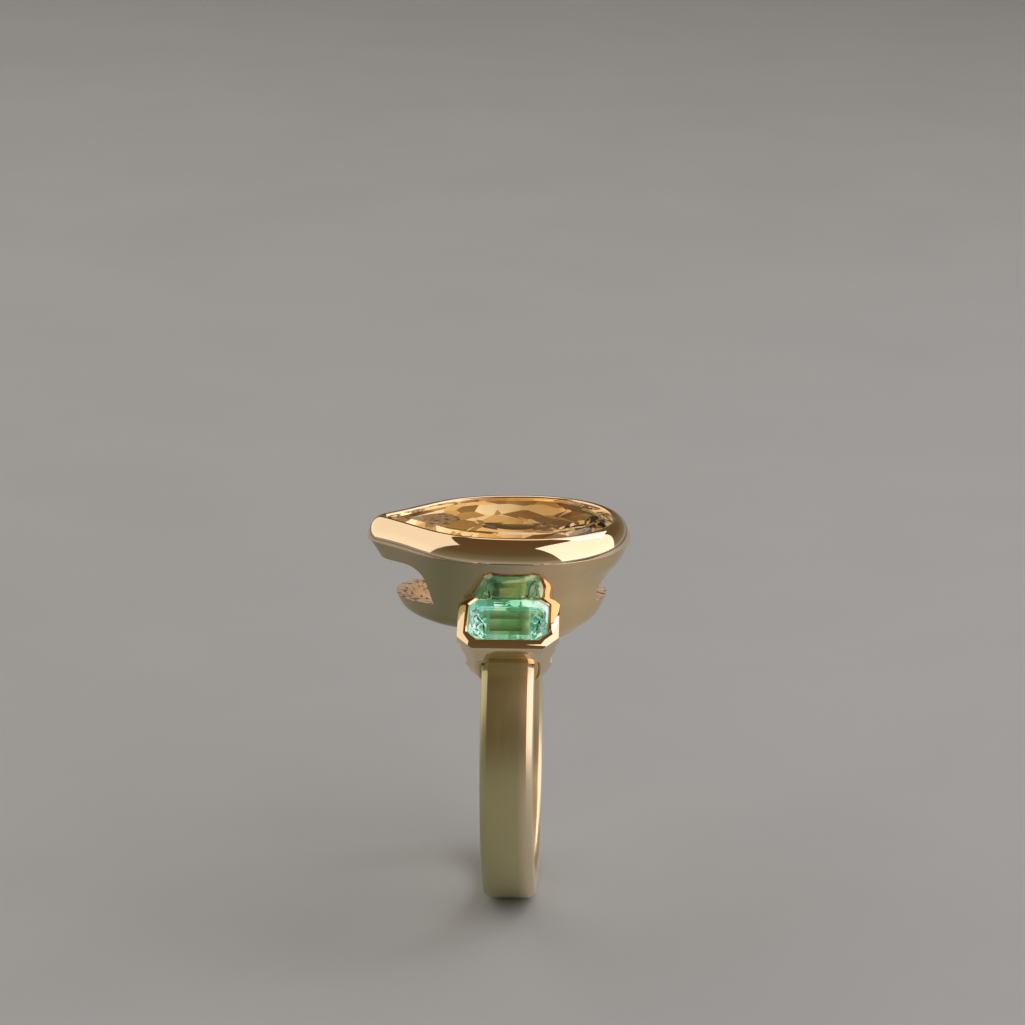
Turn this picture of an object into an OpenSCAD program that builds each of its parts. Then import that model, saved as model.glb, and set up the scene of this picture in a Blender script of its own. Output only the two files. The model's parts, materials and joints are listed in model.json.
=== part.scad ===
// Cocktail ring: a band that carries a bezel-set pear stone in an open bowl and, on each
// shoulder, an emerald-cut stone in a tapered collet.
// Millimetres. Origin: centre of the finger hole. X runs along the finger, towards the
// round end of the pear. Z points up to the pear stone, and -Y is the front shoulder.

/* [Finger hole and band] */
// Diameter of the finger hole
bore_d = 17.3; // [16.3:0.1:18.3]
// Width of the band along the finger
band_w = 3.45; // [3:0.05:3.8]
// Thickness of the band
band_t = 1.75; // [1.6:0.05:1.85]
// Width of the bevel along the band's outer edges
band_bevel = 0.4; // [0.2:0.05:0.6]
// Depth of the bevel along the band's outer edges
band_drop = 0.22; // [0.1:0.02:0.4]
// Angle above the horizontal at which the band's ends enter the bowl
band_end = 67.5; // [66:0.5:70]

/* [Pear stone] */
// Length of the pear stone that shows inside its bezel
pear_l = 15; // [14.6:0.1:15.4]
// Width of the pear stone that shows inside its bezel
pear_w = 9.9; // [9.7:0.05:10.2]
// Distance of the pear's tip from the middle of the band
pear_tip = 8.4; // [8.2:0.1:8.6]
// Half of the angle between the two flanks at the tip
pear_angle = 40; // [36:1:46]
// Share of the pear's length at which it is widest, from the tip
pear_widest = 0.62; // [0.59:0.01:0.65]
// Height of the pear's girdle over the top of the finger hole
pear_height = 6.42; // [6.2:0.02:6.6]
// Height of the crown over the girdle
pear_crown = 0.7; // [0.5:0.05:0.8]
// Depth of the pavilion under the girdle
pear_pavilion = 4.2; // [3.6:0.1:4.6]

/* [Pear bezel and bowl] */
// How far the bezel stands out beyond the stone
rim_w = 1.25; // [1.15:0.05:1.35]
// Height of the bezel from its lower edge to its top
rim_h = 1.5; // [1.45:0.05:1.6]
// Thickness of the bowl's wall at its top
bowl_wall = 0.9; // [0.8:0.05:1]
// Height of the sill of both of the bowl's windows, over the finger hole
window_sill = 2.05; // [1.9:0.05:2.3]
// Height of the window under the tip
tip_window_h = 2.5; // [2.3:0.05:2.7]
// Width of the window under the tip
tip_window_w = 6.8; // [6.4:0.1:7.2]
// Height of the window under the round end
round_window_h = 1.5; // [1.2:0.05:1.8]
// Width of the window under the round end
round_window_w = 4.4; // [3.6:0.1:5]

/* [Shoulder settings] */
// Angle of the shoulder stones above the horizontal
shoulder_angle = 59.5; // [59:0.1:60]
// Length of the emerald-cut stone that shows, along the finger
emerald_l = 5.13; // [4.9:0.05:5.3]
// Width of the emerald-cut stone that shows, around the band
emerald_w = 3.43; // [3.2:0.05:3.6]
// Leg of the stone's cropped corners
emerald_crop = 0.56; // [0.5:0.02:0.7]
// Height of the setting's rim over the finger hole's wall
setting_h = 3.85; // [3.7:0.05:4]
// Height of the setting's rim lip
lip_h = 0.75; // [0.6:0.05:0.85]
// How far the rim stands out beyond the stone
lip_w = 0.76; // [0.7:0.01:0.8]

/* [Hidden] */

$fn = 96;
fit = 0.02;             // clearance between a stone and the metal that holds it
relief = 0.06;          // how far the bowl and the collets stand back from the finger
bore_r = bore_d / 2;
band_r = bore_r + band_t;
tilt = 90 - shoulder_angle;
gold = [0.80, 0.66, 0.42];
citrine = [0.60, 0.52, 0.32];
green = [0.16, 0.48, 0.34];

// The pear's outline at the stone's edge: tip on the left, round end on the right
tip_x = -pear_tip;
round_x = pear_l - pear_tip;
side_y = pear_w / 2;
tip_r = 0.3;            // radius at the very tip
girdle_z = bore_r + pear_height;
girdle_h = 0.14;        // thickness of a girdle
rim_top = girdle_z + 0.75;
rim_base = rim_top - rim_h;

// The bowl's sections, as height over the finger hole, then how far the tip, the round
// end and the sides stand in from the bezel's outer edge, then the radius of the nose
BOWL = [
    [-1.25, 6.6, 4.5, 2.85, 2.6],
    [-0.05, 5.6, 3.2, 2.25, 3.2],
    [0.55, 3.5, 2.4, 1.9, 3.4],
    [1.15, 2.4, 1.95, 1.7, 3.4],
    [2.05, 1.9, 1.6, 1.45, 3.2],
    [3.35, 1.4, 1.5, 1.05, 2.6],
    [4.6, 0.8, 0.55, 0.5, 2],
    [rim_base - bore_r, 0.1, 0.1, 0.08, 1.5],
];
bowl_steps = 2;         // sections drawn from each of those above to the next
cheek = 0.25;           // how much thicker the bowl's wall is beside the shoulder settings
floor_section = 3;      // the section at which the bowl's cavity turns in to its floor

// ---- outlines ----

function unit(v) = v / norm(v);

// A cubic curve through four control points, and its direction
function curve(p, t) =
    pow(1 - t, 3) * p[0] + 3 * pow(1 - t, 2) * t * p[1]
    + 3 * (1 - t) * t * t * p[2] + t * t * t * p[3];
function direction(p, t) =
    pow(1 - t, 2) * (p[1] - p[0]) + 2 * (1 - t) * t * (p[2] - p[1]) + t * t * (p[3] - p[2]);

// Control points of the flank of a pear that is 1 long and 1 wide, from its widest
// point to its tip at the origin
flank_reach = 0.32;
tip_direction = [cos(pear_angle) * flank_reach, sin(pear_angle) * flank_reach * pear_l / side_y];
FLANK = [[pear_widest, 1], [pear_widest - 0.365, 1], tip_direction, [0, 0]];

// The upper half of that pear as [point, normal], from the round end to the tip. The tip
// itself comes back with every normal between the flank's and straight ahead
function half_pear(round_n, flank_n, tip_n) = concat(
    [for (i = [0:round_n - 1]) let (a = 90 * i / round_n)
        [[pear_widest + (1 - pear_widest) * cos(a), sin(a)],
         unit([cos(a) / (1 - pear_widest), sin(a)])]],
    [for (i = [0:flank_n - 1]) let (t = i / flank_n, d = direction(FLANK, t))
        [curve(FLANK, t), unit([d.y, -d.x])]],
    let (d = direction(FLANK, 1), from = atan2(-d.x, d.y))
        [for (i = [0:tip_n]) let (a = from + (180 - from) * i / tip_n)
            [[0, 0], [cos(a), sin(a)]]]
);

// A pear outline between a tip at x0 and a round end at x1, with half width w and a nose
// of radius r, as one ring of points at height z
function pear_ring(half, x0, x1, w, r, z) =
    let (
        sx = x1 - x0 - 2 * r,
        sy = w - r,
        upper = [for (h = half)
            let (n = unit([h[1].x / sx, h[1].y / sy]))
            [x0 + r + h[0].x * sx + r * n.x, h[0].y * sy + r * n.y, z]],
        last = len(upper) - 1
    )
    concat(upper, [for (i = [last - 1:-1:1]) [upper[i].x, -upper[i].y, z]]);

// The stone's outline moved out by d
function stone_ring(half, d, z) =
    pear_ring(half, tip_x - d, round_x + d, side_y + d, max(tip_r + d, 0.08), z);

// An octagon with half sides x and y and cropped corners of leg c, at height z
function octagon(x, y, c, z) = [
    [x, y - c, z], [x - c, y, z], [c - x, y, z], [-x, y - c, z],
    [-x, c - y, z], [c - x, -y, z], [x - c, -y, z], [x, c - y, z],
];

// The emerald-cut stone's outline moved out by d
function emerald_ring(d, z) =
    octagon(emerald_l / 2 + d, emerald_w / 2 + d, emerald_crop + d * (2 - sqrt(2)), z);

// ---- solids from rings ----

// Side faces between ring i and ring j, each of n points
function band_faces(n, i, j) =
    [for (k = [0:n - 1]) let (m = (k + 1) % n) each [
        [i * n + k, j * n + k, j * n + m], [i * n + k, j * n + m, i * n + m]]];

// A solid whose rings go from the bottom up
module stack(rings) {
    n = len(rings[0]);
    top = len(rings) - 1;
    polyhedron(
        points = [for (r = rings) each r],
        faces = concat(
            [[for (k = [0:n - 1]) k]],
            [for (i = [0:top - 1]) each band_faces(n, i, i + 1)],
            [[for (k = [n - 1:-1:0]) top * n + k]]
        )
    );
}

// A ring-shaped solid whose rings go round its cross-section, up the inside first
module loop(rings) {
    n = len(rings[0]);
    count = len(rings);
    polyhedron(
        points = [for (r = rings) each r],
        faces = [for (i = [0:count - 1]) each band_faces(n, (i + 1) % count, i)]
    );
}

// ---- shared shapes ----

ROUND_PEAR = half_pear(12, 14, 6);

// A smooth curve through the bowl's sections
function spline(a, b, c, d, t) =
    b + (c - a) * t / 2 + (2 * a - 5 * b + 4 * c - d) * t * t / 2
    + (3 * b - a - 3 * c + d) * t * t * t / 2;
function bowl_section(u) =
    let (
        last = len(BOWL) - 1,
        i = min(floor(u), last - 1),
        first = BOWL[max(i - 1, 0)],
        after = BOWL[min(i + 2, last)]
    )
    spline(first, BOWL[i], BOWL[i + 1], after, u - i);

// One ring of the bowl's outer wall, moved in by wall
function bowl_ring(s, wall) =
    pear_ring(
        ROUND_PEAR,
        tip_x - rim_w + s[1] + wall,
        round_x + rim_w - s[2] - wall,
        side_y + rim_w - s[3] - wall - (wall > 0 ? cheek : 0),
        max(s[4] - wall, 0.3),
        bore_r + s[0]
    );
function bowl_rings(wall) =
    [for (i = [0:(len(BOWL) - 1) * bowl_steps]) bowl_ring(bowl_section(i / bowl_steps), wall)];

module bowl_body() {
    stack(bowl_rings(0));
}

// The finger hole through the bowl and the collets, a little wider than through the band
module finger_room() {
    rotate([0, 90, 0]) cylinder(h = 4 * pear_l, r = bore_r + relief, center = true);
}

// The band's cross-section, with its inner edges eased and its outer edges bevelled
module band_profile() {
    half = band_w / 2;
    ease = 0.2;
    polygon([
        [bore_r, ease - half], [bore_r + ease, -half],
        [band_r - band_drop, -half], [band_r, band_bevel - half],
        [band_r, half - band_bevel], [band_r - band_drop, half],
        [bore_r + ease, half], [bore_r, half - ease],
    ]);
}

// Sweeps a cross-section round the finger into an open ring whose ends point up
module round_band() {
    rotate([0, 90, 0]) rotate([0, 0, 180 + 90 - band_end])
        rotate_extrude(angle = 180 + 2 * band_end) children();
}

// The slot that the band's end takes out of the bowl
module band_slot() {
    round_band() translate([bore_r - 1, -band_w / 2]) square([band_t + 1, band_w]);
}

// Moves a shoulder setting from its own upright frame to the front of the ring
module on_front() {
    rotate([tilt, 0, 0]) children();
}

module on_rear() {
    mirror([0, 1, 0]) on_front() children();
}

// ---- shoulder setting, upright, with heights measured from the finger's axis ----

rim_z = bore_r + setting_h;
collet_z = rim_z - lip_h - 0.15;
emerald_z = rim_z - 0.42;        // top of the seat, under the girdle
collet_floor = bore_r + 0.95;
lip_inner = 0.2;        // where the rim's outer slope starts, outside the stone
lip_slope = 0.24;       // how far the rim falls along that slope

// The tapered, bellied outside of a collet
module collet_body() {
    stack([
        octagon(1.9, 1.75, 0.4, bore_r - 0.6),
        octagon(2.4, 1.9, 0.5, bore_r),
        octagon(2.75, 1.9, 0.6, bore_r + 0.6),
        octagon(3.02, 1.92, 0.8, bore_r + 1.2),
        octagon(3.1, 2, 0.95, bore_r + 2),
        emerald_ring(0.55, collet_z),
    ]);
}

module collet_cavity() {
    stack([
        octagon(2.05, 1.1, 0.5, collet_floor),
        octagon(2.5, 1.5, 0.6, collet_floor + 0.8),
        emerald_ring(-0.3, collet_z + fit),
    ]);
}

// Oval openings through both ends of the collet. They reach round into its corner faces
module collet_windows() {
    half = 1.4;
    r = 0.6;
    reach = 8;
    translate([0, 0, bore_r + 1.3]) {
        cube([reach, 2 * (half - r), 2 * r], center = true);
        for (y = [r - half, half - r])
            translate([0, y, 0]) rotate([0, 90, 0]) cylinder(h = reach, r = r, center = true);
    }
}

module collet() {
    difference() {
        collet_body();
        collet_cavity();
        collet_windows();
    }
}

module emerald_seat() {
    outer = 0.12;
    inner = -0.35;
    loop([
        emerald_ring(inner, collet_z),
        emerald_ring(inner, emerald_z - 0.35),
        emerald_ring(outer, emerald_z),
        emerald_ring(outer, collet_z),
    ]);
}

module emerald_bezel() {
    wall = 0.12 + fit;
    loop([
        emerald_ring(wall, collet_z),
        emerald_ring(wall, emerald_z + girdle_h + 0.06),
        emerald_ring(0, emerald_z + girdle_h + 0.14),
        emerald_ring(lip_inner, rim_z),
        emerald_ring(lip_w, rim_z - lip_slope),
        emerald_ring(lip_w, rim_z - lip_h),
        emerald_ring(0.55, collet_z),
    ]);
}

// A step-cut stone: three steps of pavilion, a girdle, and two steps of crown
module emerald_stone() {
    base = emerald_z + fit;
    stack([
        octagon(1.1, 0.06, 0.05, base - 1.12),
        octagon(1.75, 0.75, 0.35, base - 0.83),
        octagon(2.25, 1.3, 0.55, base - 0.45),
        emerald_ring(0.1, base),
        emerald_ring(0.1, base + girdle_h),
        emerald_ring(-0.32, base + girdle_h + 0.2),
        emerald_ring(-0.72, base + girdle_h + 0.32),
    ]);
}

// ---- sub-parts ----

module shank() {
    color(gold) round_band() band_profile();
}

module pear_bowl() {
    last = (len(BOWL) - 1) * bowl_steps;
    color(gold) difference() {
        bowl_body();
        stack(concat(
            [pear_ring(ROUND_PEAR, -2.9, 2.9, 1.8, 1.6, bore_r - 2)],
            [for (i = [floor_section * bowl_steps:last])
                bowl_ring(bowl_section(i / bowl_steps), bowl_wall)],
            [bowl_ring(BOWL[len(BOWL) - 1] + [0.5, 0, 0, 0, 0], bowl_wall)]
        ));
        finger_room();
        band_slot();
        window(tip_window_w, tip_window_h, 0.9, -1);
        window(round_window_w, round_window_h, 1.1, 1);
        on_front() setting_notch();
        on_rear() setting_notch();
    }
}

// An opening through one end of the bowl, w wide and h high, with its upper corners
// rounded to radius r
module window(w, h, r, side) {
    inner = 3;          // how near the middle of the bowl the cut starts
    reach = 12;
    translate([side > 0 ? inner : -inner - reach, 0, bore_r + window_sill])
        rotate([90, 0, 90]) linear_extrude(reach) {
            translate([-w / 2, 0]) square([w, h - r]);
            translate([r - w / 2, 0]) square([w - 2 * r, h]);
            for (y = [r - w / 2, w / 2 - r]) translate([y, h - r]) circle(r);
        }
}

// The room that a shoulder setting takes out of the bowl's side
module setting_notch() {
    collet_body();
    stack([
        emerald_ring(0.55, collet_z - 0.01),
        emerald_ring(lip_w, rim_z - lip_h),
        emerald_ring(lip_w, rim_z - lip_slope),
        emerald_ring(lip_inner, rim_z + fit),
    ]);
}

module pear_seat() {
    outer = 0.1;
    inner = -0.6;
    slope = pear_pavilion / side_y;
    color(gold) loop([
        stone_ring(ROUND_PEAR, inner, rim_base),
        stone_ring(ROUND_PEAR, inner, girdle_z - (outer - inner) * slope),
        stone_ring(ROUND_PEAR, outer, girdle_z - fit),
        stone_ring(ROUND_PEAR, outer, rim_base),
    ]);
}

module pear_bezel() {
    wall = 0.1 + fit;
    bulge = 4;          // steps round the bezel's outer curve
    shoulder = 0.22;    // where the curve starts, outside the stone
    foot = rim_base + 0.06;
    last = 12;          // the curve stops short of upright
    color(gold) loop(concat(
        [
            stone_ring(ROUND_PEAR, wall, rim_base),
            stone_ring(ROUND_PEAR, wall, girdle_z + girdle_h + 0.06),
            stone_ring(ROUND_PEAR, 0, girdle_z + girdle_h + 0.12),
            stone_ring(ROUND_PEAR, 0.03, rim_top - 0.08),
        ],
        [for (i = [0:bulge]) let (a = 90 + (last - 90) * i / bulge)
            stone_ring(ROUND_PEAR, shoulder + (rim_w - shoulder) * cos(a) / cos(last),
                foot + (rim_top - foot) * (sin(a) - sin(last)) / (1 - sin(last)))],
        [stone_ring(ROUND_PEAR, rim_w - 0.06, rim_base)]
    ));
}

// A pear brilliant with its pavilion, girdle, two rows of crown facets and table
module pear_stone() {
    half = half_pear(4, 4, 1);
    flat = 0.56;        // share of the stone's width that its table takes
    function at(s, z) = pear_ring(half,
        tip_x * s, round_x * s, side_y * s, tip_r * s, z);
    color(citrine) stack([
        at(0.03, girdle_z - pear_pavilion),
        at(0.55, girdle_z - pear_pavilion * 0.47),
        stone_ring(half, 0.08, girdle_z),
        stone_ring(half, 0.08, girdle_z + girdle_h),
        at(0.8, girdle_z + pear_crown * 0.62),
        at(flat, girdle_z + pear_crown),
    ]);
}

// A collet cut to sit astride the band
module astride() {
    difference() {
        children();
        finger_room();
        rotate([0, 90, 0]) cylinder(h = band_w, r = band_r, center = true);
    }
}

module front_collet() {
    color(gold) astride() on_front() collet();
}

module front_seat() {
    color(gold) on_front() emerald_seat();
}

module front_bezel() {
    color(gold) on_front() emerald_bezel();
}

module front_stone() {
    color(green) on_front() emerald_stone();
}

module rear_collet() {
    color(gold) astride() on_rear() collet();
}

module rear_seat() {
    color(gold) on_rear() emerald_seat();
}

module rear_bezel() {
    color(gold) on_rear() emerald_bezel();
}

module rear_stone() {
    color(green) on_rear() emerald_stone();
}

shank();
pear_bowl();
pear_seat();
pear_bezel();
pear_stone();
front_collet();
front_seat();
front_bezel();
front_stone();
rear_collet();
rear_seat();
rear_bezel();
rear_stone();
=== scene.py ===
"""Looks of the cocktail ring: polished gold, a pear-cut citrine and two emerald-cut green stones.

Shapes are worked out in millimetres in the CAD model's frame, and turned into metres when a
mesh is made. X runs along the finger, Z up to the pear stone, and -Y is the front shoulder.
"""

import json
import math

import bmesh
import bpy
from mathutils import Matrix, Vector
from mathutils.bvhtree import BVHTree


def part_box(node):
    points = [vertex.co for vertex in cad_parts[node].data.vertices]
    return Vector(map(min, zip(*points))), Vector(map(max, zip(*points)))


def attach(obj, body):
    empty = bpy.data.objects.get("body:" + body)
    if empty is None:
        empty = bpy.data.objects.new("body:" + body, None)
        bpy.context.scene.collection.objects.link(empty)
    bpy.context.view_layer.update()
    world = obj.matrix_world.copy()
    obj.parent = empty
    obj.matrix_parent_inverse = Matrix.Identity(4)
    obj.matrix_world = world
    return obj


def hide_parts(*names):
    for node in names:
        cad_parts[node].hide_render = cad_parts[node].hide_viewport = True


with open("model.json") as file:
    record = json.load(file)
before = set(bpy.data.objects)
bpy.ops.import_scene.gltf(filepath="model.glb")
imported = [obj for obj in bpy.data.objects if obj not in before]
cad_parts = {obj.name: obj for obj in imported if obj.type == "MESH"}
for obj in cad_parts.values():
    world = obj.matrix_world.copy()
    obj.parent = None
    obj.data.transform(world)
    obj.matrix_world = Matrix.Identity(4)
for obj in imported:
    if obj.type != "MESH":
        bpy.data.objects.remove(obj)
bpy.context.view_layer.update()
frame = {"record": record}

MM = 0.001

# ---- sizes in millimetres, partly read from model.glb and model.json ----


def node_box(node):
    low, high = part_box(node)
    return [c / MM for c in low], [c / MM for c in high]


MOUNT = frame["record"]["mounts"][0]
BORE_R = MOUNT["dims"]["r_mm"]
RELIEF = 0.06                    # how far the bowl and collets stand back from the finger
BAND_R = node_box("shank")[1][1]
BAND_HALF = node_box("shank")[1][0]
RIM_LOW, RIM_HIGH = node_box("pear_bezel")
RIM_W = 1.25                     # how far the pear's bezel stands out beyond the stone
RIM_TOP, RIM_BASE = RIM_HIGH[2], RIM_LOW[2]
TIP_X = RIM_LOW[0] + RIM_W       # the pear stone's edge, as the bezel shows it
ROUND_X = RIM_HIGH[0] - RIM_W
SIDE_Y = RIM_HIGH[1] - RIM_W
TIP_R = 0.3
TABLE_Z = node_box("pear_stone")[1][2]
GIRDLE_Z = RIM_TOP - 0.75
GIRDLE_H = 0.14

# Shoulder settings, in their own upright frame
SHOULDER_TILT = math.radians(30.5)
SETTING_TOP = BORE_R + 3.85
EMERALD_X, EMERALD_Y, EMERALD_CROP = 5.13 / 2, 3.43 / 2, 0.56
LIP_W, LIP_H = 0.76, 0.75        # how far the rim stands out beyond the stone, its height
LIP_INNER, LIP_SLOPE = 0.2, 0.24  # where its outer slope starts, how far that slope falls
COLLET_FOOT = 0.55               # how far a collet's top stands out beyond the stone
COLLET_TOP = SETTING_TOP - LIP_H - 0.15
EMERALD_Z = SETTING_TOP - 0.42


# ---- outlines ----


def unit(x, y):
    d = math.hypot(x, y)
    return x / d, y / d


def half_pear(round_n=44, flank_n=40, tip_n=12):
    """The upper half of a pear 1 long and 1 wide, from its round end to its tip at the
    origin, as points with outward normals. The tip comes back with a fan of normals."""
    widest, reach, angle = 0.62, 0.32, math.radians(40)
    shoulder = widest - 0.365
    stretch = 15 / 4.95          # the stone's length over its half width
    grip = ((widest, 1.0), (shoulder, 1.0),
            (math.cos(angle) * reach, math.sin(angle) * reach * stretch), (0.0, 0.0))
    out = []
    for i in range(round_n):
        a = math.pi / 2 * i / round_n
        out.append(((widest + (1 - widest) * math.cos(a), math.sin(a)),
                    unit(math.cos(a) / (1 - widest), math.sin(a))))

    def along(t):
        w = ((1 - t) ** 3, 3 * (1 - t) ** 2 * t, 3 * (1 - t) * t * t, t ** 3)
        d = ((1 - t) ** 2, 2 * (1 - t) * t, t * t)
        point = [sum(w[k] * grip[k][c] for k in range(4)) for c in (0, 1)]
        ahead = [sum(d[k] * (grip[k + 1][c] - grip[k][c]) for k in range(3)) for c in (0, 1)]
        return point, unit(ahead[1], -ahead[0])

    for i in range(flank_n):
        point, normal = along(i / flank_n)
        out.append((tuple(point), normal))
    start = math.atan2(along(1.0)[1][1], along(1.0)[1][0])
    for i in range(tip_n + 1):
        a = start + (math.pi - start) * i / tip_n
        out.append(((0.0, 0.0), (math.cos(a), math.sin(a))))
    return out


PEAR = half_pear()


def pear_ring(x0, x1, w, r, z):
    """A pear outline from a tip at x0 to a round end at x1, half width w, nose radius r."""
    sx, sy = x1 - x0 - 2 * r, w - r
    upper = []
    for (px, py), (nx, ny) in PEAR:
        nx, ny = unit(nx / sx, ny / sy)
        upper.append((x0 + r + px * sx + r * nx, py * sy + r * ny, z))
    return upper + [(x, -y, z) for x, y, z in upper[-2:0:-1]]


def stone_ring(d, z):
    """The pear stone's visible edge moved out by d."""
    return pear_ring(TIP_X - d, ROUND_X + d, SIDE_Y + d, max(TIP_R + d, 0.08), z)


def octagon(x, y, c, z):
    """An octagon with half sides x and y and cropped corners of leg c, at height z."""
    return [(x, y - c, z), (x - c, y, z), (c - x, y, z), (-x, y - c, z),
            (-x, c - y, z), (c - x, -y, z), (x - c, -y, z), (x, c - y, z)]


def emerald_ring(d, z):
    """The emerald-cut stone's visible edge moved out by d."""
    return octagon(EMERALD_X + d, EMERALD_Y + d, EMERALD_CROP + d * (2 - math.sqrt(2)), z)


def rounded(points):
    """Rounds the corners of a closed cross-section. Each point is (d, z, radius, steps)."""
    out = []
    n = len(points)
    for i, (x, y, r, steps) in enumerate(points):
        if r <= 0:
            out.append((x, y))
            continue
        p = Vector((x, y))
        a = Vector(points[i - 1][:2]) - p
        b = Vector(points[(i + 1) % n][:2]) - p
        half = a.angle(b) / 2
        reach = min(r / math.tan(half), 0.45 * a.length, 0.45 * b.length)
        start, end = p + a.normalized() * reach, p + b.normalized() * reach
        for k in range(steps + 1):
            t = k / steps
            q = start * (1 - t) ** 2 + p * 2 * t * (1 - t) + end * t * t
            out.append((q.x, q.y))
    return out


# ---- meshes ----


def mesh_from(points, faces):
    bm = bmesh.new()
    verts = [bm.verts.new(p) for p in points]
    for f in faces:
        bm.faces.new([verts[i] for i in f])
    bmesh.ops.recalc_face_normals(bm, faces=bm.faces[:])
    return bm


def skin(rings, closed):
    """Joins rings of equal length: round a cross-section if closed, or as a capped stack."""
    n, count = len(rings[0]), len(rings)
    points = [p for r in rings for p in r]
    faces = []
    for i in range(count if closed else count - 1):
        j = (i + 1) % count
        faces += [(i * n + k, i * n + (k + 1) % n, j * n + (k + 1) % n, j * n + k)
                  for k in range(n)]
    if not closed:
        faces += [tuple(range(n)), tuple((count - 1) * n + k for k in range(n))]
    return mesh_from(points, faces)


def as_object(name, bm, matrix=None):
    """A Blender object from a mesh. It stays in millimetres until settle() is called."""
    if matrix is not None:
        bmesh.ops.transform(bm, matrix=matrix, verts=bm.verts[:])
    bmesh.ops.recalc_face_normals(bm, faces=bm.faces[:])
    me = bpy.data.meshes.new(name)
    bm.to_mesh(me)
    bm.free()
    ob = bpy.data.objects.new(name, me)
    bpy.context.scene.collection.objects.link(ob)
    return ob


def apply_modifiers(ob):
    graph = bpy.context.evaluated_depsgraph_get()
    me = bpy.data.meshes.new_from_object(ob.evaluated_get(graph))
    ob.modifiers.clear()
    ob.data = me


def subtract(ob, *cutters):
    """Takes the cutters' volume out of an object and removes them."""
    for c in cutters:
        m = ob.modifiers.new("cut", "BOOLEAN")
        m.operation, m.solver, m.object = "DIFFERENCE", "EXACT", c
    apply_modifiers(ob)
    for c in cutters:
        bpy.data.objects.remove(c)


def soften(ob, width, angle=30, segments=3):
    """Rounds an object's sharp edges; width in millimetres."""
    m = ob.modifiers.new("edge", "BEVEL")
    m.width, m.segments, m.limit_method = width, segments, "ANGLE"
    m.angle_limit = math.radians(angle)
    m.harden_normals = True
    apply_modifiers(ob)


def smooth(ob, angle=30):
    ob.data.shade_smooth()
    ob.data.set_sharp_from_angle(angle=math.radians(angle))


def settle(ob, node, material=None):
    """Brings a finished piece to metres, gives it its material and hides the model part it stands
    for.
    """
    ob.data.transform(Matrix.Scale(MM, 4))
    if material:
        ob.data.materials.append(material)
    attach(ob, "root")
    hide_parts(node)
    return ob


# ---- materials ----


def new_material(name):
    mat = bpy.data.materials.new(name)
    mat.use_nodes = True
    return mat, mat.node_tree, mat.node_tree.nodes["Principled BSDF"]


def ramp(tree, source, stops):
    """Turns a value into a colour. Each stop is (place from 0 to 1, colour)."""
    node = tree.nodes.new("ShaderNodeValToRGB")
    while len(node.color_ramp.elements) < len(stops):
        node.color_ramp.elements.new(0.5)
    for element, (place, color) in zip(node.color_ramp.elements, stops):
        element.position = place
        element.color = (*color, 1)
    tree.links.new(source, node.inputs["Fac"])
    return node.outputs["Color"]


def noise(tree, scale, detail=3, stretch=(1, 1, 1)):
    """Noise in object space; scale is in features per metre."""
    where = tree.nodes.new("ShaderNodeTexCoord")
    turn = tree.nodes.new("ShaderNodeMapping")
    turn.inputs["Scale"].default_value = stretch
    tree.links.new(where.outputs["Object"], turn.inputs["Vector"])
    node = tree.nodes.new("ShaderNodeTexNoise")
    node.inputs["Scale"].default_value = scale
    node.inputs["Detail"].default_value = detail
    tree.links.new(turn.outputs["Vector"], node.inputs["Vector"])
    return node.outputs["Fac"]


def along_x(tree, stops):
    """A colour that changes along the finger; the stops are in millimetres."""
    where = tree.nodes.new("ShaderNodeTexCoord")
    split = tree.nodes.new("ShaderNodeSeparateXYZ")
    tree.links.new(where.outputs["Object"], split.inputs["Vector"])
    low, high = stops[0][0], stops[-1][0]
    span = tree.nodes.new("ShaderNodeMapRange")
    span.inputs["From Min"].default_value = low * MM
    span.inputs["From Max"].default_value = high * MM
    tree.links.new(split.outputs["X"], span.inputs["Value"])
    return ramp(tree, span.outputs["Result"], [
        ((place - low) / (high - low), color) for place, color in stops])


def multiplied(tree, first, second):
    mix = tree.nodes.new("ShaderNodeMix")
    mix.data_type, mix.blend_type = "RGBA", "MULTIPLY"
    mix.inputs["Factor"].default_value = 1.0
    tree.links.new(first, mix.inputs["A"])
    tree.links.new(second, mix.inputs["B"])
    return mix.outputs["Result"]


def bump(tree, source, strength, distance, under=None):
    node = tree.nodes.new("ShaderNodeBump")
    node.inputs["Strength"].default_value = strength
    node.inputs["Distance"].default_value = distance
    tree.links.new(source, node.inputs["Height"])
    if under:
        tree.links.new(under, node.inputs["Normal"])
    return node.outputs["Normal"]


def gold(name, shine, tones, stretch=(1, 1, 1), wobble=0.02, lines=0.012, metallic=1.0):
    """Polished yellow gold: tones along the finger, which on the bowl's wall and the band are
    painted light and shade, faint colour drift, handling marks and fine polishing lines."""
    mat, tree, shader = new_material(name)
    shader.inputs["Metallic"].default_value = metallic
    drift = ramp(tree, noise(tree, 260, 3, stretch), [
        (0.3, (0.95, 0.98, 0.93)), (0.7, (1.0, 0.98, 1.0))])
    color = multiplied(tree, drift, along_x(tree, tones))
    tree.links.new(color, shader.inputs["Base Color"])
    worn = ramp(tree, noise(tree, 1400, 6, stretch), [
        (0.42, (shine[0],) * 3), (0.72, (shine[1],) * 3)])
    tree.links.new(worn, shader.inputs["Roughness"])
    waves = bump(tree, noise(tree, 420, 2), wobble, 0.0004)
    fine = bump(tree, noise(tree, 9000, 4, stretch), lines, 0.00002, waves)
    tree.links.new(fine, shader.inputs["Normal"])
    return mat


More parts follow.
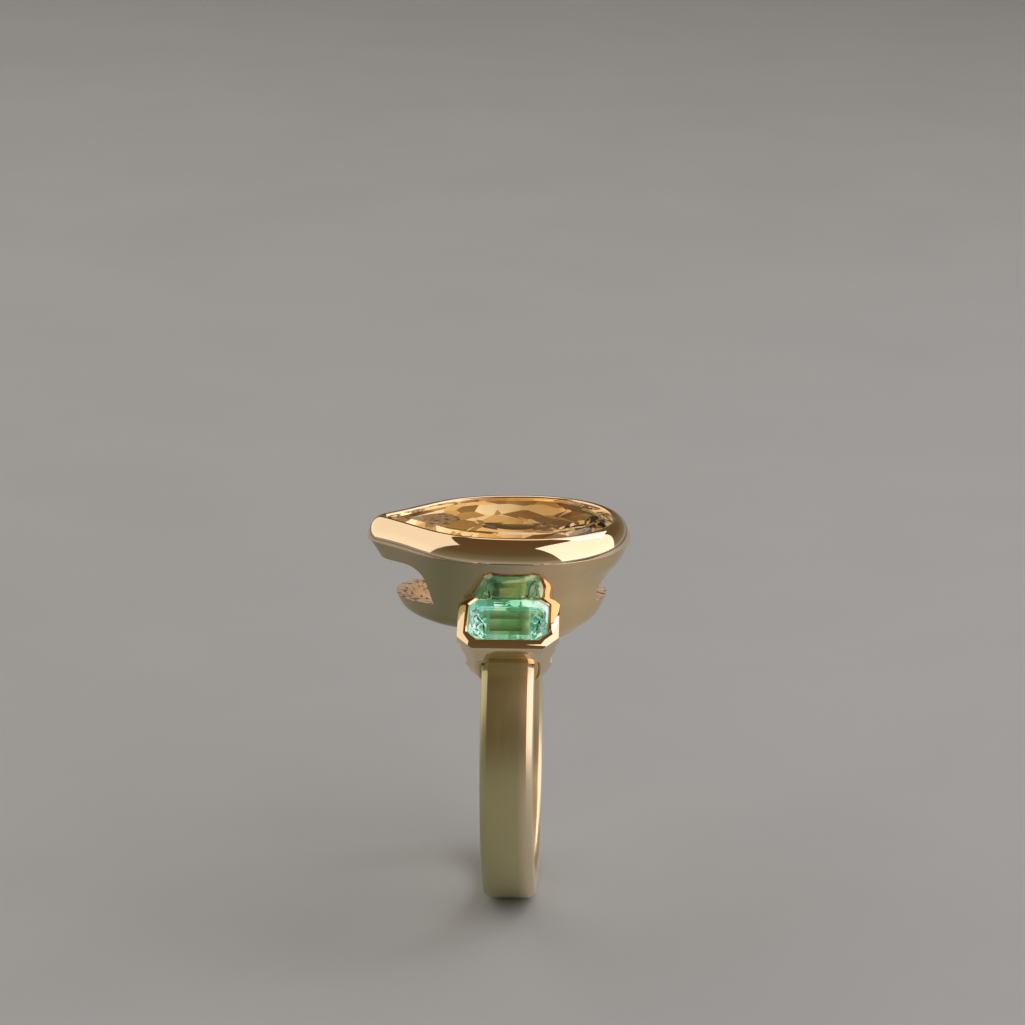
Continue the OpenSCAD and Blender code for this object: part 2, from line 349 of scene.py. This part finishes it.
def cast_gold():
    """Unpolished gold where the windows were pierced: mottled and grainy."""
    mat, tree, shader = new_material("gold_cast")
    shader.inputs["Metallic"].default_value = 0.45
    shader.inputs["Roughness"].default_value = 0.4
    grain = noise(tree, 2600, 3)
    mottle = ramp(tree, grain, [
        (0.38, (0.3, 0.17, 0.12)), (0.46, (0.95, 0.74, 0.62)), (0.6, (1.0, 0.93, 0.86))])
    tree.links.new(mottle, shader.inputs["Base Color"])
    tree.links.new(bump(tree, grain, 0.8, 0.0002), shader.inputs["Normal"])
    return mat


def fire(name, cell, shades, tones, glow):
    """The metal behind a cut stone, patchy with the light that the facets throw on it. It
    gives off light of its own, in place of the sparkle of a real stone."""
    mat, tree, shader = new_material(name)
    shader.inputs["Metallic"].default_value = 1.0
    shader.inputs["Roughness"].default_value = 0.4
    where = tree.nodes.new("ShaderNodeTexCoord")
    cells = tree.nodes.new("ShaderNodeTexVoronoi")
    cells.inputs["Scale"].default_value = cell
    tree.links.new(where.outputs["Object"], cells.inputs["Vector"])
    patch = tree.nodes.new("ShaderNodeSeparateColor")
    tree.links.new(cells.outputs["Color"], patch.inputs["Color"])
    color = multiplied(tree, ramp(tree, patch.outputs["Red"], shades), along_x(tree, tones))
    tree.links.new(color, shader.inputs["Base Color"])
    tree.links.new(color, shader.inputs["Emission Color"])
    shader.inputs["Emission Strength"].default_value = glow
    tree.links.new(bump(tree, noise(tree, 900, 3), 0.3, 0.0002), shader.inputs["Normal"])
    return mat


def gem(name, tint, edge_tint, body, density, ior, flaw_scale):
    """A cut stone: clear glass whose body takes its colour by depth, with faint zones of
    colour and a few scuffs."""
    mat, tree, shader = new_material(name)
    shader.inputs["Transmission Weight"].default_value = 1.0
    shader.inputs["IOR"].default_value = ior
    zones = ramp(tree, noise(tree, flaw_scale, 5, (1, 1, 0.4)), [(0.4, tint), (0.68, edge_tint)])
    tree.links.new(zones, shader.inputs["Base Color"])
    scuffs = ramp(tree, noise(tree, 2600, 6), [(0.6, (0.0, 0.0, 0.0)), (0.8, (0.05, 0.05, 0.05))])
    tree.links.new(scuffs, shader.inputs["Roughness"])
    absorb = tree.nodes.new("ShaderNodeVolumeAbsorption")
    absorb.inputs["Color"].default_value = (*body, 1)
    absorb.inputs["Density"].default_value = density
    tree.links.new(absorb.outputs["Volume"], tree.nodes["Material Output"].inputs["Volume"])
    return mat


GOLD = gold("gold_polished", (0.03, 0.08), [(-9, (0.93, 0.76, 0.54)), (7, (0.96, 0.77, 0.55))])
# Painted light and shade: the bowl wall's tones darken to olive towards the tip and turn warm and
# bright towards the round end, on the lit side.
GOLD_WALL_PAINTED_LIGHT = gold("gold_wall", (0.06, 0.12), [
    (-7, (0.5, 0.42, 0.26)), (-4.5, (0.36, 0.34, 0.19)), (-3.5, (0.4, 0.37, 0.21)),
    (0, (0.6, 0.49, 0.33)), (2.5, (0.95, 0.7, 0.44)), (4.3, (1.0, 0.76, 0.45)),
    (7, (0.82, 0.62, 0.38))], wobble=0.03)
# Painted reflection and highlight: the band's tones are olive across its middle and pale and
# bright towards its edge at +X.
GOLD_BAND_PAINTED_LIGHT = gold("gold_band", (0.34, 0.38), [
    (-1.8, (0.56, 0.54, 0.38)), (-1.2, (0.55, 0.5, 0.27)), (0.7, (0.59, 0.53, 0.29)),
    (1.3, (0.9, 0.74, 0.5)), (1.8, (1.0, 0.88, 0.66))], stretch=(4, 0.25, 0.25),
    wobble=0.005, lines=0.002)
GOLD_CAST = cast_gold()
# Painted highlight: the faces cut by the collets' openings are near white and barely metallic, so
# they show as white slivers.
GOLD_OPENING_PAINTED_HIGHLIGHT = gold("gold_opening", (0.5, 0.6), [
    (-4, (1.0, 0.96, 0.9)), (4, (1.0, 0.96, 0.9))], metallic=0.2)
PEAR_FIRE = fire("pear_fire", 620, [
    (0.0, (0.08, 0.05, 0.02)), (0.25, (0.3, 0.19, 0.07)), (0.5, (0.66, 0.46, 0.19)),
    (0.7, (0.88, 0.68, 0.36)), (0.82, (1.0, 0.95, 0.8))], [
    (-9, (0.2, 0.15, 0.09)), (-6.4, (0.3, 0.22, 0.13)), (-5.4, (1.0, 0.94, 0.82)),
    (-2.5, (0.95, 0.88, 0.75)), (-0.5, (0.85, 0.76, 0.6)), (0.8, (0.55, 0.4, 0.22)),
    (2.8, (0.5, 0.36, 0.18)), (3.4, (0.95, 0.62, 0.3)), (4.2, (0.75, 0.92, 0.82)),
    (7, (0.8, 0.95, 0.9))], 0.85)
GREEN_FIRE = fire("green_fire", 1500, [
    (0.0, (0.06, 0.2, 0.12)), (0.4, (0.25, 0.52, 0.38)), (0.7, (0.66, 0.92, 0.8)),
    (0.85, (1.0, 1.0, 0.95))], [
    (-2.6, (0.55, 0.68, 0.75)), (-1.2, (0.66, 0.82, 0.85)), (-0.4, (0.74, 0.94, 0.8)),
    (0.8, (0.84, 1.0, 0.86)), (2.6, (0.8, 0.82, 0.95))], 0.76)
CITRINE = gem("citrine", (1.0, 0.93, 0.8), (0.98, 0.82, 0.6), (0.95, 0.75, 0.42), 60, 1.55, 260)
GREEN = gem("green_stone", (0.88, 1.0, 0.96), (0.7, 0.95, 0.84), (0.5, 0.9, 0.76), 60, 1.58, 900)


# ---- cut stones ----


def cut_stone(outline, low, high, facets):
    """Grinds flat facets on a prism. Each facet is a point on its plane and a normal."""
    n = len(outline)
    points = [(x, y, low) for x, y in outline] + [(x, y, high) for x, y in outline]
    faces = [tuple(range(n)), tuple(range(n, 2 * n))]
    faces += [(k, (k + 1) % n, n + (k + 1) % n, n + k) for k in range(n)]
    bm = mesh_from(points, faces)
    for place, normal in facets:
        made = bmesh.ops.bisect_plane(
            bm, geom=bm.verts[:] + bm.edges[:] + bm.faces[:], dist=1e-5,
            plane_co=place, plane_no=normal, clear_outer=True)
        rim = [e for e in made["geom_cut"] if isinstance(e, bmesh.types.BMEdge)]
        if rim:
            bmesh.ops.contextual_create(bm, geom=rim)
    bmesh.ops.dissolve_limit(bm, angle_limit=0.002, verts=bm.verts[:], edges=bm.edges[:])
    return bm


def facet(outline, turn, slope, z, inset=0.0):
    """A facet whose normal points turn degrees round and slope degrees off vertical. It
    meets the outline's furthest point that way, less the inset, at height z."""
    a, s = math.radians(turn), math.radians(slope)
    reach = max(x * math.cos(a) + y * math.sin(a) for x, y in outline) - inset
    place = (reach * math.cos(a), reach * math.sin(a), z)
    return place, (math.cos(a) * math.sin(s), math.sin(a) * math.sin(s), math.cos(s))


def pear_brilliant():
    """Table, stars, mains and girdle facets above; mains and girdle facets below."""
    outline = [p[:2] for p in stone_ring(0.08, 0)]
    top, bottom = GIRDLE_Z + GIRDLE_H, GIRDLE_Z
    turns = [15, 45, 75, 105, 130, 153]
    mains = [0] + [s * t for t in turns for s in (1, -1)] + [180]
    between = [s * t for t in (7, 30, 60, 90, 118, 142, 168) for s in (1, -1)]
    cuts = [facet(outline, t, 30, top) for t in mains]
    cuts += [facet(outline, t, 37, top) for t in between]
    cuts += [facet(outline, t, 17, top, -0.85) for t in between]
    cuts += [((0, 0, TABLE_Z), (0, 0, 1))]
    cuts += [facet(outline, t, 180 - 40, bottom) for t in mains]
    cuts += [facet(outline, t, 180 - 44, bottom) for t in between]
    cuts += [facet(outline, t, 180 - 30, bottom - 2.4, 2.55) for t in between]
    return cut_stone(outline, bottom - 6, top + 2, cuts)


def emerald_cut():
    """Three steps above the girdle and three below, on eight sides."""
    outline = [p[:2] for p in emerald_ring(0.1, 0)]
    base = EMERALD_Z + 0.02
    top = base + GIRDLE_H
    cuts = []
    for turn in range(0, 360, 45):
        for slope, inset, rise in ((46, 0, 0), (34, 0.2, 0.17), (22, 0.45, 0.31)):
            cuts.append(facet(outline, turn, slope, top + rise, inset))
        for slope, inset, drop in ((58, 0, 0), (48, 0.32, 0.42), (38, 0.72, 0.82)):
            cuts.append(facet(outline, turn, 180 - slope, base - drop, inset))
    cuts.append(((0, 0, top + 0.36), (0, 0, 1)))
    return cut_stone(outline, base - 1.2, top + 1, cuts)


# ---- the band ----


def band_section(drop=0.0):
    """The band's cross-section as (distance from the finger's axis, x)."""
    h, bevel, fall, ease = BAND_HALF, 0.42, 0.22, 0.2
    return rounded([
        (BORE_R, ease - h, 0.3, 4), (BORE_R + ease, -h, 0.15, 3),
        (BAND_R - fall - drop, -h, 0.16, 4), (BAND_R - drop, bevel - h, 0.05, 3),
        (BAND_R - drop, h - bevel, 0.05, 3), (BAND_R - fall - drop, h, 0.16, 4),
        (BORE_R + ease, h, 0.15, 3), (BORE_R, h - ease, 0.3, 4)])


def shank_stops():
    """Angles round the finger's axis, from the rear end to the front, with the rise there."""
    end, frame_foot, frame_top, height = 67.4, 46.0, 47.1, 0.12
    steps = 150
    rear = [(end, height), (frame_top, height), (frame_foot, 0.0)]
    middle = [(frame_foot - (180 + 2 * frame_foot) * i / steps, 0.0) for i in range(1, steps)]
    front = [(-180 - turn, rise) for turn, rise in reversed(rear)]
    return rear + middle + front


def make_shank():
    """An open ring, with a narrow raised frame across the band where it meets each collet."""
    rings = []
    for turn, rise in shank_stops():
        a = math.radians(turn)
        rings.append([(x, r * math.cos(a), r * math.sin(a)) for r, x in band_section(-rise)])
    ob = as_object("shank_band", skin(rings, False))
    smooth(ob, 24)
    return settle(ob, "shank", GOLD_BAND_PAINTED_LIGHT)


# ---- the pear's bowl, seat and bezel ----

# The bowl's sections, as height over the finger hole, then how far the tip, the round end
# and the sides stand in from the bezel's outer edge, then the radius of the nose
BOWL = [
    (-1.25, 6.6, 4.5, 2.85, 2.6),
    (-0.05, 5.6, 3.2, 2.25, 3.2),
    (0.55, 3.5, 2.4, 1.9, 3.4),
    (1.15, 2.4, 1.95, 1.7, 3.4),
    (2.05, 1.9, 1.6, 1.45, 3.2),
    (3.35, 1.4, 1.5, 1.05, 2.6),
    (4.6, 0.8, 0.55, 0.5, 2.0),
    (RIM_BASE - BORE_R, 0.1, 0.1, 0.08, 1.5),
]


def bowl_section(u):
    """A smooth curve through the bowl's sections."""
    i = min(int(u), len(BOWL) - 2)
    t = u - i
    around = [BOWL[min(max(k, 0), len(BOWL) - 1)] for k in range(i - 1, i + 3)]
    return [b + (c - a) * t / 2 + (2 * a - 5 * b + 4 * c - d) * t * t / 2
            + (3 * b - a - 3 * c + d) * t ** 3 / 2 for a, b, c, d in zip(*around)]


def bowl_ring(s, wall):
    cheek = 0.25 if wall else 0.0
    return pear_ring(
        RIM_LOW[0] + s[1] + wall, RIM_HIGH[0] - s[2] - wall, RIM_HIGH[1] - s[3] - wall - cheek,
        max(s[4] - wall, 0.3), BORE_R + s[0])


def window_cutter(w, h, r, side):
    """A bar with a rounded top that runs out through one end of the bowl."""
    sill, inner, outer = BORE_R + 2.05, 3.0, 15.0
    outline = [(-w / 2, sill), (w / 2, sill)]
    for centre, start in ((w / 2 - r, 0), (r - w / 2, 90)):
        outline += [(centre + r * math.cos(math.radians(start + k * 7.5)),
                     sill + h - r + r * math.sin(math.radians(start + k * 7.5)))
                    for k in range(13)]
    rings = [[(side * x, y, z) for y, z in outline] for x in (inner, outer)]
    return as_object("window_cutter", skin(rings, False))


def tube_cutter(r, half_length, steps=180):
    rings = [[(x, r * math.cos(2 * math.pi * k / steps), r * math.sin(2 * math.pi * k / steps))
              for k in range(steps)] for x in (-half_length, half_length)]
    return as_object("tube_cutter", skin(rings, False))


def band_cutter():
    """The band's plain envelope, a little over its arc."""
    rings = []
    for turn in range(72, -253, -2):
        a = math.radians(turn)
        rings.append([(x, r * math.cos(a), r * math.sin(a)) for r, x in (
            (BORE_R - 0.5, -BAND_HALF), (BAND_R, -BAND_HALF),
            (BAND_R, BAND_HALF), (BORE_R - 0.5, BAND_HALF))])
    return as_object("band_cutter", skin(rings, False))


def collet_rings():
    return [
        octagon(1.9, 1.75, 0.4, BORE_R - 0.6),
        octagon(2.4, 1.9, 0.5, BORE_R),
        octagon(2.75, 1.9, 0.6, BORE_R + 0.6),
        octagon(3.02, 1.92, 0.8, BORE_R + 1.2),
        octagon(3.1, 2, 0.95, BORE_R + 2),
        emerald_ring(COLLET_FOOT, COLLET_TOP),
    ]


def shoulder_matrix(side):
    """Stands a setting on the front (-1) or the rear (1) shoulder."""
    turn = Matrix.Rotation(SHOULDER_TILT, 4, "X")
    return turn if side < 0 else Matrix.Scale(-1, 4, (0, 1, 0)) @ turn


def notch_cutter(side):
    rings = collet_rings()[:-1] + [
        emerald_ring(COLLET_FOOT, COLLET_TOP), emerald_ring(LIP_W, SETTING_TOP - LIP_H),
        emerald_ring(LIP_W, SETTING_TOP - LIP_SLOPE), emerald_ring(LIP_INNER, SETTING_TOP)]
    return as_object("notch_cutter", skin(rings, False), shoulder_matrix(side))


def keep_normals(ob, *sources):
    """Gives an object that was cut the smooth normals of the surfaces it was cut from."""
    near = 0.002
    trees = []
    for bm in sources:
        bm.normal_update()
        bm.faces.ensure_lookup_table()
        trees.append((BVHTree.FromBMesh(bm), bm))
    me = ob.data
    normals = [tuple(n.vector) for n in me.corner_normals]
    for poly in me.polygons:
        for tree, bm in trees:
            centre, flat, index, gap = tree.find_nearest(poly.center)
            if gap is None or gap > near or abs(flat.dot(poly.normal)) < 0.9:
                continue
            sign = 1 if flat.dot(poly.normal) > 0 else -1
            for li in poly.loop_indices:
                co = me.vertices[me.loops[li].vertex_index].co
                hit, _, face_index, _ = tree.find_nearest(co)
                face = bm.faces[face_index]
                normals[li] = tuple(sign * blended_normal(face, hit))
            break
    me.normals_split_custom_set(normals)


def blended_normal(face, point):
    """A normal between those of a face's corners, weighted by nearness."""
    total = Vector((0, 0, 0))
    for v in face.verts:
        total += v.normal / max((v.co - point).length, 1e-6) ** 2
    return total.normalized()


def make_bowl():
    """The bowl: polished outside with painted light and shade along the finger, mottled where it
    was pierced and low down near the tip, and patchy with light inside."""
    fine = 7                     # rings from each of the bowl's sections to the next
    last = (len(BOWL) - 1) * fine
    outer = [bowl_ring(bowl_section(i / fine), 0) for i in range(last + 1)]
    wall = 0.9
    lift = (0.5, 0, 0, 0, 0)
    inner = [pear_ring(-2.9, 2.9, 1.8, 1.6, BORE_R - 2)]
    inner += [bowl_ring(bowl_section(i / fine), wall) for i in range(3 * fine, last + 1)]
    inner += [bowl_ring([a + b for a, b in zip(BOWL[-1], lift)], wall)]
    ob = as_object("bowl_wall", skin(outer, False))
    tip_cut, round_cut = window_cutter(6.8, 2.5, 0.9, -1), window_cutter(4.4, 1.5, 1.1, 1)
    cavity = as_object("cavity", skin(inner, False))
    for piece in (ob, tip_cut, round_cut, cavity):
        for material in (GOLD_WALL_PAINTED_LIGHT, GOLD_CAST, PEAR_FIRE):
            piece.data.materials.append(material)
        layer = {ob: 0, cavity: 2}.get(piece, 1)
        for poly in piece.data.polygons:
            poly.material_index = layer
    subtract(ob, tube_cutter(BORE_R + RELIEF, 20), band_cutter(), tip_cut, round_cut,
             notch_cutter(-1), notch_cutter(1), cavity)
    rough_top, rough_end = BORE_R + 2.6, -3.5
    for poly in ob.data.polygons:
        near_tip = poly.center.z < rough_top and poly.center.x < rough_end
        if poly.material_index == 2 and near_tip:
            poly.material_index = 1
    smooth(ob, 30)
    keep_normals(ob, skin(outer, False), skin(inner, False))
    return settle(ob, "pear_bowl")


def make_pear_seat():
    inner, outer, slope = -0.6, 0.1, 0.84
    section = rounded([
        (inner, RIM_BASE, 0.05, 2), (inner, GIRDLE_Z - (outer - inner) * slope, 0.06, 3),
        (outer, GIRDLE_Z - 0.03, 0, 0), (outer, RIM_BASE, 0.05, 2)])
    ob = as_object("seat_ring", skin([stone_ring(d, z) for d, z in section], True))
    smooth(ob, 40)
    return settle(ob, "pear_seat", PEAR_FIRE)


def make_pear_bezel():
    """A thick rim: rounded over the outside, with a crisp lower edge and a thin lip that is
    pressed over the stone."""
    wall, shoulder, foot = 0.12, 0.22, RIM_BASE + 0.06
    last = math.radians(12)      # the curve stops short of upright
    points = [
        (wall, RIM_BASE, 0.03, 2), (wall, GIRDLE_Z + GIRDLE_H + 0.06, 0, 0),
        (0.0, GIRDLE_Z + GIRDLE_H + 0.12, 0.02, 2), (0.03, RIM_TOP - 0.08, 0.06, 4)]
    steps = 22
    for i in range(steps + 1):
        a = math.pi / 2 + (last - math.pi / 2) * i / steps
        points.append((shoulder + (RIM_W - shoulder) * math.cos(a) / math.cos(last),
                       foot + (RIM_TOP - foot) * (math.sin(a) - math.sin(last))
                       / (1 - math.sin(last)), 0, 0))
    points += [(RIM_W - 0.06, RIM_BASE, 0.02, 2)]
    rings = [stone_ring(d, z) for d, z in rounded(points)]
    ob = as_object("bezel_rim", skin(rings, True))
    smooth(ob, 40)
    return settle(ob, "pear_bezel", GOLD)


# ---- shoulder settings ----


def make_collet(side, name):
    floor = BORE_R + 0.95
    matrix = shoulder_matrix(side)
    ob = as_object(name + "_collet_wall", skin(collet_rings(), False), matrix)
    cavity = skin([
        octagon(2.05, 1.1, 0.5, floor), octagon(2.5, 1.5, 0.6, floor + 0.8),
        emerald_ring(-0.3, COLLET_TOP + 0.02)], False)
    middle, half, r = BORE_R + 1.3, 1.4, 0.6
    oval = []
    for centre, start in ((half - r, -90), (r - half, 90)):
        for k in range(25):
            a = math.radians(start + 7.5 * k)
            oval.append((centre + r * math.cos(a), middle + r * math.sin(a)))
    window = skin([[(x, y, z) for y, z in oval] for x in (-4, 4)], False)
    hollow, opening = as_object("cavity", cavity, matrix), as_object("opening", window, matrix)
    for layer, piece in enumerate((ob, hollow, opening)):
        for material in (GOLD, GREEN_FIRE, GOLD_OPENING_PAINTED_HIGHLIGHT):
            piece.data.materials.append(material)
        for poly in piece.data.polygons:
            poly.material_index = layer
    subtract(ob, hollow, opening,
             tube_cutter(BORE_R + RELIEF, 20), tube_cutter(BAND_R, BAND_HALF))
    soften(ob, 0.05)
    smooth(ob, 25)
    return settle(ob, name + "_collet")


def make_emerald_seat(side, name):
    inner, outer = -0.35, 0.12
    section = [(inner, COLLET_TOP), (inner, EMERALD_Z - 0.35), (outer, EMERALD_Z),
               (outer, COLLET_TOP)]
    ob = as_object(name + "_seat_ring", skin([emerald_ring(d, z) for d, z in section], True),
                   shoulder_matrix(side))
    soften(ob, 0.02, segments=2)
    smooth(ob, 25)
    return settle(ob, name + "_seat", GREEN_FIRE)


def make_emerald_bezel(side, name):
    wall, girdle_top = 0.14, EMERALD_Z + GIRDLE_H
    section = [
        (wall, COLLET_TOP), (wall, girdle_top + 0.06),
        (0.0, girdle_top + 0.14), (0.02, girdle_top + 0.18),
        (LIP_INNER, SETTING_TOP), (LIP_W, SETTING_TOP - LIP_SLOPE),
        (LIP_W, SETTING_TOP - LIP_H), (COLLET_FOOT, COLLET_TOP)]
    ob = as_object(name + "_rim", skin([emerald_ring(d, z) for d, z in section], True),
                   shoulder_matrix(side))
    soften(ob, 0.045, angle=18)
    smooth(ob, 25)
    return settle(ob, name + "_bezel", GOLD)


def make_emerald(side, name):
    ob = as_object(name + "_green_stone", emerald_cut(), shoulder_matrix(side))
    return settle(ob, name + "_stone", GREEN)


# ---- the object ----

make_shank()
make_bowl()
make_pear_seat()
make_pear_bezel()
settle(as_object("pear_citrine", pear_brilliant()), "pear_stone", CITRINE)
for shoulder, shoulder_name in ((-1, "front"), (1, "rear")):
    make_collet(shoulder, shoulder_name)
    make_emerald_seat(shoulder, shoulder_name)
    make_emerald_bezel(shoulder, shoulder_name)
    make_emerald(shoulder, shoulder_name)


# ---- studio ----

RING_MIDDLE = (0.0, 0.0, 0.012)


def make_floor():
    me = bpy.data.meshes.new("floor")
    size, z = 0.9, -BAND_R * MM
    me.from_pydata([(-size, -size, z), (size, -size, z), (size, size, z), (-size, size, z)],
                   [], [(0, 1, 2, 3)])
    ob = bpy.data.objects.new("floor", me)
    bpy.context.scene.collection.objects.link(ob)
    mat, tree, shader = new_material("floor_paper")
    shade = ramp(tree, noise(tree, 60, 4), [(0.3, (0.46, 0.51, 0.56)), (0.7, (0.48, 0.53, 0.58))])
    tree.links.new(shade, shader.inputs["Base Color"])
    shader.inputs["Roughness"].default_value = 0.75
    me.materials.append(mat)


def softbox(name, place, target, width, height, power, color):
    data = bpy.data.lights.new(name, "AREA")
    data.shape, data.size, data.size_y = "RECTANGLE", width, height
    data.energy, data.color = power, color
    ob = bpy.data.objects.new(name, data)
    ob.location = place
    ob.rotation_euler = (Vector(target) - Vector(place)).to_track_quat("-Z", "Y").to_euler()
    bpy.context.scene.collection.objects.link(ob)


def aimed_softbox(name, turn, rise, distance, width, height, radiance, color):
    """A softbox that faces the ring. It stands turn degrees to the right of the view and
    rise degrees up; its power follows from how bright its face is."""
    a, e = math.radians(turn), math.radians(rise)
    place = (distance * math.cos(e) * math.sin(a), -distance * math.cos(e) * math.cos(a),
             distance * math.sin(e) + RING_MIDDLE[2])
    softbox(name, place, RING_MIDDLE, width, height, radiance * math.pi * width * height, color)


def make_studio():
    make_floor()
    aimed_softbox("right_box", 72, 33, 0.4, 0.66, 0.5, 1.25, (1.0, 0.91, 0.87))
    aimed_softbox("left_box", -110, 33, 0.4, 0.7, 0.46, 0.9, (1.0, 0.9, 0.8))
    aimed_softbox("right_back_box", 128, 54, 0.4, 0.22, 0.2, 1.6, (1.0, 0.96, 0.91))
    aimed_softbox("back_box", 172, 50, 0.5, 0.24, 0.16, 0.9, (1.0, 0.95, 0.9))
    world = bpy.data.worlds.new("studio_air")
    world.use_nodes = True
    tree = world.node_tree
    sky = tree.nodes["Background"]
    where = tree.nodes.new("ShaderNodeTexCoord")
    split = tree.nodes.new("ShaderNodeSeparateXYZ")
    tree.links.new(where.outputs["Generated"], split.inputs["Vector"])
    shade = ramp(tree, split.outputs["Z"], [
        (0.0, (0.34, 0.33, 0.3)), (0.1, (0.2, 0.17, 0.12)), (0.4, (0.12, 0.085, 0.045)),
        (1.0, (0.12, 0.066, 0.03))])
    tree.links.new(shade, sky.inputs["Color"])
    sky.inputs["Strength"].default_value = 1.0
    bpy.context.scene.world = world


def make_camera():
    turn, rise, distance = math.radians(2.45), math.radians(16), 0.28
    aim = Vector((0.0, 0.0, 0.0161))
    away = Vector((math.sin(turn) * math.cos(rise), -math.cos(turn) * math.cos(rise),
                   math.sin(rise)))
    data = bpy.data.cameras.new("camera")
    data.lens = 148.4
    data.clip_start = 0.01
    ob = bpy.data.objects.new("camera", data)
    ob.location = aim + away * distance
    ob.rotation_euler = (-away).to_track_quat("-Z", "Y").to_euler()
    bpy.context.scene.collection.objects.link(ob)
    bpy.context.scene.camera = ob


make_studio()
make_camera()
bpy.context.scene.view_settings.view_transform = "Standard"
